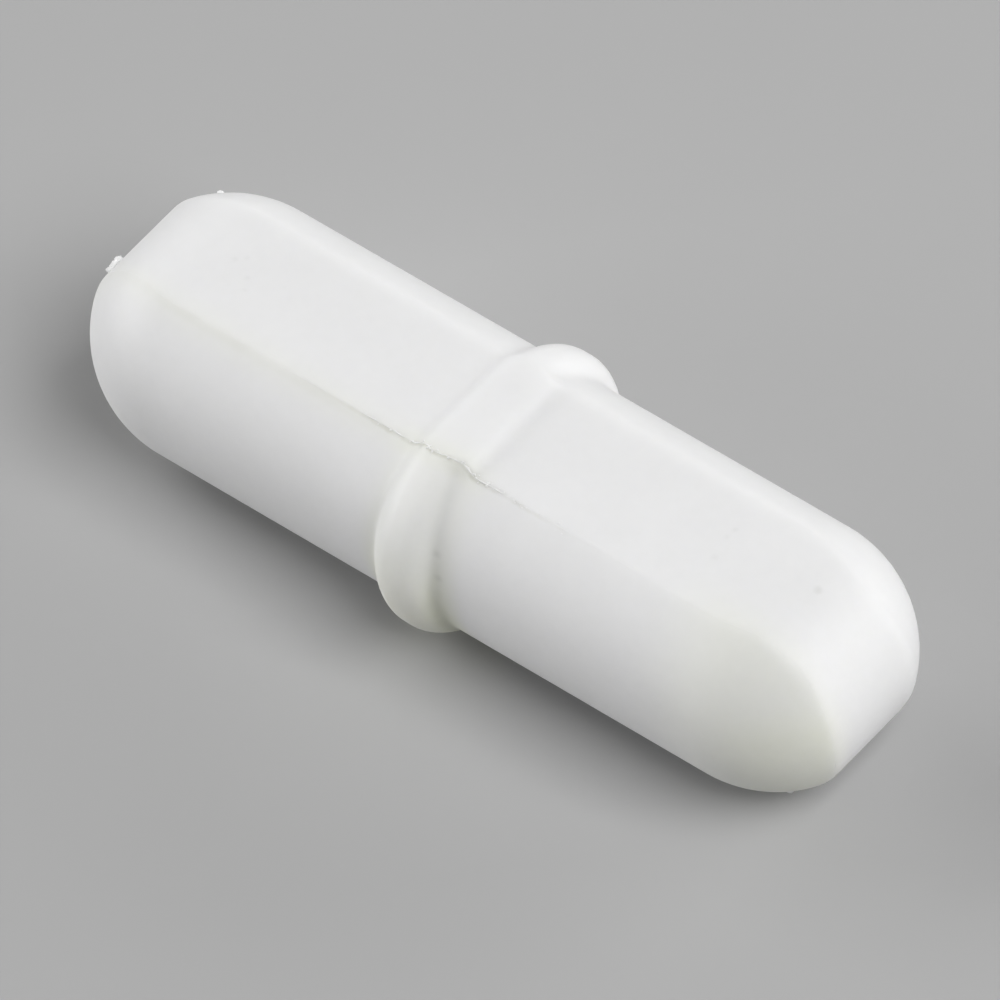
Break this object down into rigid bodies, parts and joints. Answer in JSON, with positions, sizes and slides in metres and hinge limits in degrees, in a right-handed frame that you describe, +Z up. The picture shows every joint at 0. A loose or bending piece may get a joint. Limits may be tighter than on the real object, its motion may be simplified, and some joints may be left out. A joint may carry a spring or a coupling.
{
  "type": "magnetic stir bar",
  "caption": "Round-ended white bar with flats above and below and a raised pivot ring round its middle, sealing in a rod magnet that a stirring plate spins.",
  "frame": {"origin": "the centre of the bar, at the middle of its box", "axes": "+X along the bar, +Y along the press direction and away from the front cup, +Z up out of the upper flat"},
  "size_m": [0.025, 0.0084, 0.0068],
  "materials": {
    "ptfe_white": "waxy satin white fluoropolymer, faintly translucent",
    "magnet_alloy": "cast magnet alloy, ground on the outside"
  },
  "bodies": {
    "root": {"ptfe_jacket": "ptfe_white", "magnet_core": "magnet_alloy"}
  },
  "joints": []
}
